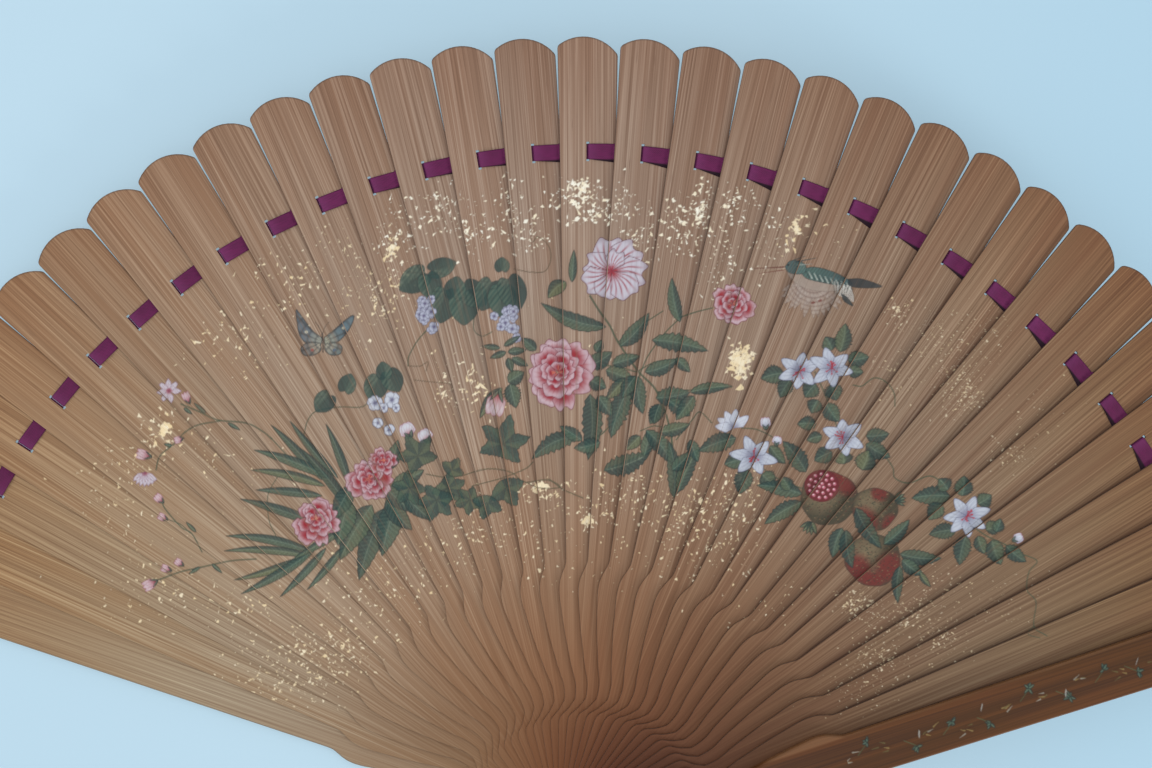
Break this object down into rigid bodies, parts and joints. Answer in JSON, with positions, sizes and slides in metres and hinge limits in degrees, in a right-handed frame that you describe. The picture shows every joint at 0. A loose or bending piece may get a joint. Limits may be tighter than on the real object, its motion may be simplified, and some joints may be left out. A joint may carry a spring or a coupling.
{
  "type": "folding hand fan",
  "caption": "Open folding fan of thin overlapping bamboo sticks between two stiffer guards, pivoting on one rivet and linked near the tips by a ribbon through slots.",
  "frame": {"origin": "on the rivet axis, in the plane of the rear guard's outer face, which is also the rivet's flush rear end", "axes": "+Z along the rivet axis towards the painted front, +Y from the rivet to the middle of the open fan, +X towards the front guard's side"},
  "size_m": [0.3804, 0.2075, 0.0317],
  "materials": {
    "bamboo": "satin",
    "guard_wood": "satin lacquer",
    "ribbon": "woven satin",
    "rivet": "polished"
  },
  "bodies": {
    "rear": {"guard_rear": "guard_wood", "rivet_pin": "rivet", "rivet_washer_rear": "rivet", "rivet_washer_front": "rivet", "ribbon": "ribbon"},
    "stick_01": {"stick_01": "bamboo"},
    "stick_02": {"stick_02": "bamboo"},
    "stick_03": {"stick_03": "bamboo"},
    "stick_04": {"stick_04": "bamboo"},
    "stick_05": {"stick_05": "bamboo"},
    "stick_06": {"stick_06": "bamboo"},
    "stick_07": {"stick_07": "bamboo"},
    "stick_08": {"stick_08": "bamboo"},
    "stick_09": {"stick_09": "bamboo"},
    "stick_10": {"stick_10": "bamboo"},
    "stick_11": {"stick_11": "bamboo"},
    "stick_12": {"stick_12": "bamboo"},
    "stick_13": {"stick_13": "bamboo"},
    "stick_14": {"stick_14": "bamboo"},
    "stick_15": {"stick_15": "bamboo"},
    "stick_16": {"stick_16": "bamboo"},
    "stick_17": {"stick_17": "bamboo"},
    "stick_18": {"stick_18": "bamboo"},
    "stick_19": {"stick_19": "bamboo"},
    "stick_20": {"stick_20": "bamboo"},
    "stick_21": {"stick_21": "bamboo"},
    "stick_22": {"stick_22": "bamboo"},
    "stick_23": {"stick_23": "bamboo"},
    "stick_24": {"stick_24": "bamboo"},
    "stick_25": {"stick_25": "bamboo"},
    "stick_26": {"stick_26": "bamboo"},
    "stick_27": {"stick_27": "bamboo"},
    "stick_28": {"stick_28": "bamboo"},
    "stick_29": {"stick_29": "bamboo"},
    "stick_30": {"stick_30": "bamboo"},
    "front": {"guard_front": "guard_wood"}
  },
  "joints": [
    {"name": "fan_fold", "type": "hinge", "parent": "rear", "child": "front", "pos_m": [0, 0, 0], "axis": [0, 0, 1], "range_deg": [0, 143], "deforming": ["ribbon"]},
    {"name": "stick_01_fold", "type": "hinge", "parent": "rear", "child": "stick_01", "pos_m": [0, 0, 0], "axis": [0, 0, 1], "range_deg": [0, 4.61]},
    {"name": "stick_02_fold", "type": "hinge", "parent": "rear", "child": "stick_02", "pos_m": [0, 0, 0], "axis": [0, 0, 1], "range_deg": [0, 9.23]},
    {"name": "stick_03_fold", "type": "hinge", "parent": "rear", "child": "stick_03", "pos_m": [0, 0, 0], "axis": [0, 0, 1], "range_deg": [0, 13.84]},
    {"name": "stick_04_fold", "type": "hinge", "parent": "rear", "child": "stick_04", "pos_m": [0, 0, 0], "axis": [0, 0, 1], "range_deg": [0, 18.45]},
    {"name": "stick_05_fold", "type": "hinge", "parent": "rear", "child": "stick_05", "pos_m": [0, 0, 0], "axis": [0, 0, 1], "range_deg": [0, 23.06]},
    {"name": "stick_06_fold", "type": "hinge", "parent": "rear", "child": "stick_06", "pos_m": [0, 0, 0], "axis": [0, 0, 1], "range_deg": [0, 27.68]},
    {"name": "stick_07_fold", "type": "hinge", "parent": "rear", "child": "stick_07", "pos_m": [0, 0, 0], "axis": [0, 0, 1], "range_deg": [0, 32.29]},
    {"name": "stick_08_fold", "type": "hinge", "parent": "rear", "child": "stick_08", "pos_m": [0, 0, 0], "axis": [0, 0, 1], "range_deg": [0, 36.9]},
    {"name": "stick_09_fold", "type": "hinge", "parent": "rear", "child": "stick_09", "pos_m": [0, 0, 0], "axis": [0, 0, 1], "range_deg": [0, 41.52]},
    {"name": "stick_10_fold", "type": "hinge", "parent": "rear", "child": "stick_10", "pos_m": [0, 0, 0], "axis": [0, 0, 1], "range_deg": [0, 46.13]},
    {"name": "stick_11_fold", "type": "hinge", "parent": "rear", "child": "stick_11", "pos_m": [0, 0, 0], "axis": [0, 0, 1], "range_deg": [0, 50.74]},
    {"name": "stick_12_fold", "type": "hinge", "parent": "rear", "child": "stick_12", "pos_m": [0, 0, 0], "axis": [0, 0, 1], "range_deg": [0, 55.35]},
    {"name": "stick_13_fold", "type": "hinge", "parent": "rear", "child": "stick_13", "pos_m": [0, 0, 0], "axis": [0, 0, 1], "range_deg": [0, 59.97]},
    {"name": "stick_14_fold", "type": "hinge", "parent": "rear", "child": "stick_14", "pos_m": [0, 0, 0], "axis": [0, 0, 1], "range_deg": [0, 64.58]},
    {"name": "stick_15_fold", "type": "hinge", "parent": "rear", "child": "stick_15", "pos_m": [0, 0, 0], "axis": [0, 0, 1], "range_deg": [0, 69.19]},
    {"name": "stick_16_fold", "type": "hinge", "parent": "rear", "child": "stick_16", "pos_m": [0, 0, 0], "axis": [0, 0, 1], "range_deg": [0, 73.81]},
    {"name": "stick_17_fold", "type": "hinge", "parent": "rear", "child": "stick_17", "pos_m": [0, 0, 0], "axis": [0, 0, 1], "range_deg": [0, 78.42]},
    {"name": "stick_18_fold", "type": "hinge", "parent": "rear", "child": "stick_18", "pos_m": [0, 0, 0], "axis": [0, 0, 1], "range_deg": [0, 83.03]},
    {"name": "stick_19_fold", "type": "hinge", "parent": "rear", "child": "stick_19", "pos_m": [0, 0, 0], "axis": [0, 0, 1], "range_deg": [0, 87.65]},
    {"name": "stick_20_fold", "type": "hinge", "parent": "rear", "child": "stick_20", "pos_m": [0, 0, 0], "axis": [0, 0, 1], "range_deg": [0, 92.26]},
    {"name": "stick_21_fold", "type": "hinge", "parent": "rear", "child": "stick_21", "pos_m": [0, 0, 0], "axis": [0, 0, 1], "range_deg": [0, 96.87]},
    {"name": "stick_22_fold", "type": "hinge", "parent": "rear", "child": "stick_22", "pos_m": [0, 0, 0], "axis": [0, 0, 1], "range_deg": [0, 101.48]},
    {"name": "stick_23_fold", "type": "hinge", "parent": "rear", "child": "stick_23", "pos_m": [0, 0, 0], "axis": [0, 0, 1], "range_deg": [0, 106.1]},
    {"name": "stick_24_fold", "type": "hinge", "parent": "rear", "child": "stick_24", "pos_m": [0, 0, 0], "axis": [0, 0, 1], "range_deg": [0, 110.71]},
    {"name": "stick_25_fold", "type": "hinge", "parent": "rear", "child": "stick_25", "pos_m": [0, 0, 0], "axis": [0, 0, 1], "range_deg": [0, 115.32]},
    {"name": "stick_26_fold", "type": "hinge", "parent": "rear", "child": "stick_26", "pos_m": [0, 0, 0], "axis": [0, 0, 1], "range_deg": [0, 119.94]},
    {"name": "stick_27_fold", "type": "hinge", "parent": "rear", "child": "stick_27", "pos_m": [0, 0, 0], "axis": [0, 0, 1], "range_deg": [0, 124.55]},
    {"name": "stick_28_fold", "type": "hinge", "parent": "rear", "child": "stick_28", "pos_m": [0, 0, 0], "axis": [0, 0, 1], "range_deg": [0, 129.16]},
    {"name": "stick_29_fold", "type": "hinge", "parent": "rear", "child": "stick_29", "pos_m": [0, 0, 0], "axis": [0, 0, 1], "range_deg": [0, 133.77]},
    {"name": "stick_30_fold", "type": "hinge", "parent": "rear", "child": "stick_30", "pos_m": [0, 0, 0], "axis": [0, 0, 1], "range_deg": [0, 138.39]}
  ],
  "couplings": [
    {"joint": "stick_01_fold", "follows": "fan_fold", "ratio": 0.032258},
    {"joint": "stick_02_fold", "follows": "fan_fold", "ratio": 0.064516},
    {"joint": "stick_03_fold", "follows": "fan_fold", "ratio": 0.096774},
    {"joint": "stick_04_fold", "follows": "fan_fold", "ratio": 0.12903},
    {"joint": "stick_05_fold", "follows": "fan_fold", "ratio": 0.16129},
    {"joint": "stick_06_fold", "follows": "fan_fold", "ratio": 0.19355},
    {"joint": "stick_07_fold", "follows": "fan_fold", "ratio": 0.22581},
    {"joint": "stick_08_fold", "follows": "fan_fold", "ratio": 0.25806},
    {"joint": "stick_09_fold", "follows": "fan_fold", "ratio": 0.29032},
    {"joint": "stick_10_fold", "follows": "fan_fold", "ratio": 0.32258},
    {"joint": "stick_11_fold", "follows": "fan_fold", "ratio": 0.35484},
    {"joint": "stick_12_fold", "follows": "fan_fold", "ratio": 0.3871},
    {"joint": "stick_13_fold", "follows": "fan_fold", "ratio": 0.41935},
    {"joint": "stick_14_fold", "follows": "fan_fold", "ratio": 0.45161},
    {"joint": "stick_15_fold", "follows": "fan_fold", "ratio": 0.48387},
    {"joint": "stick_16_fold", "follows": "fan_fold", "ratio": 0.51613},
    {"joint": "stick_17_fold", "follows": "fan_fold", "ratio": 0.54839},
    {"joint": "stick_18_fold", "follows": "fan_fold", "ratio": 0.58065},
    {"joint": "stick_19_fold", "follows": "fan_fold", "ratio": 0.6129},
    {"joint": "stick_20_fold", "follows": "fan_fold", "ratio": 0.64516},
    {"joint": "stick_21_fold", "follows": "fan_fold", "ratio": 0.67742},
    {"joint": "stick_22_fold", "follows": "fan_fold", "ratio": 0.70968},
    {"joint": "stick_23_fold", "follows": "fan_fold", "ratio": 0.74194},
    {"joint": "stick_24_fold", "follows": "fan_fold", "ratio": 0.77419},
    {"joint": "stick_25_fold", "follows": "fan_fold", "ratio": 0.80645},
    {"joint": "stick_26_fold", "follows": "fan_fold", "ratio": 0.83871},
    {"joint": "stick_27_fold", "follows": "fan_fold", "ratio": 0.87097},
    {"joint": "stick_28_fold", "follows": "fan_fold", "ratio": 0.90323},
    {"joint": "stick_29_fold", "follows": "fan_fold", "ratio": 0.93548},
    {"joint": "stick_30_fold", "follows": "fan_fold", "ratio": 0.96774}
  ]
}
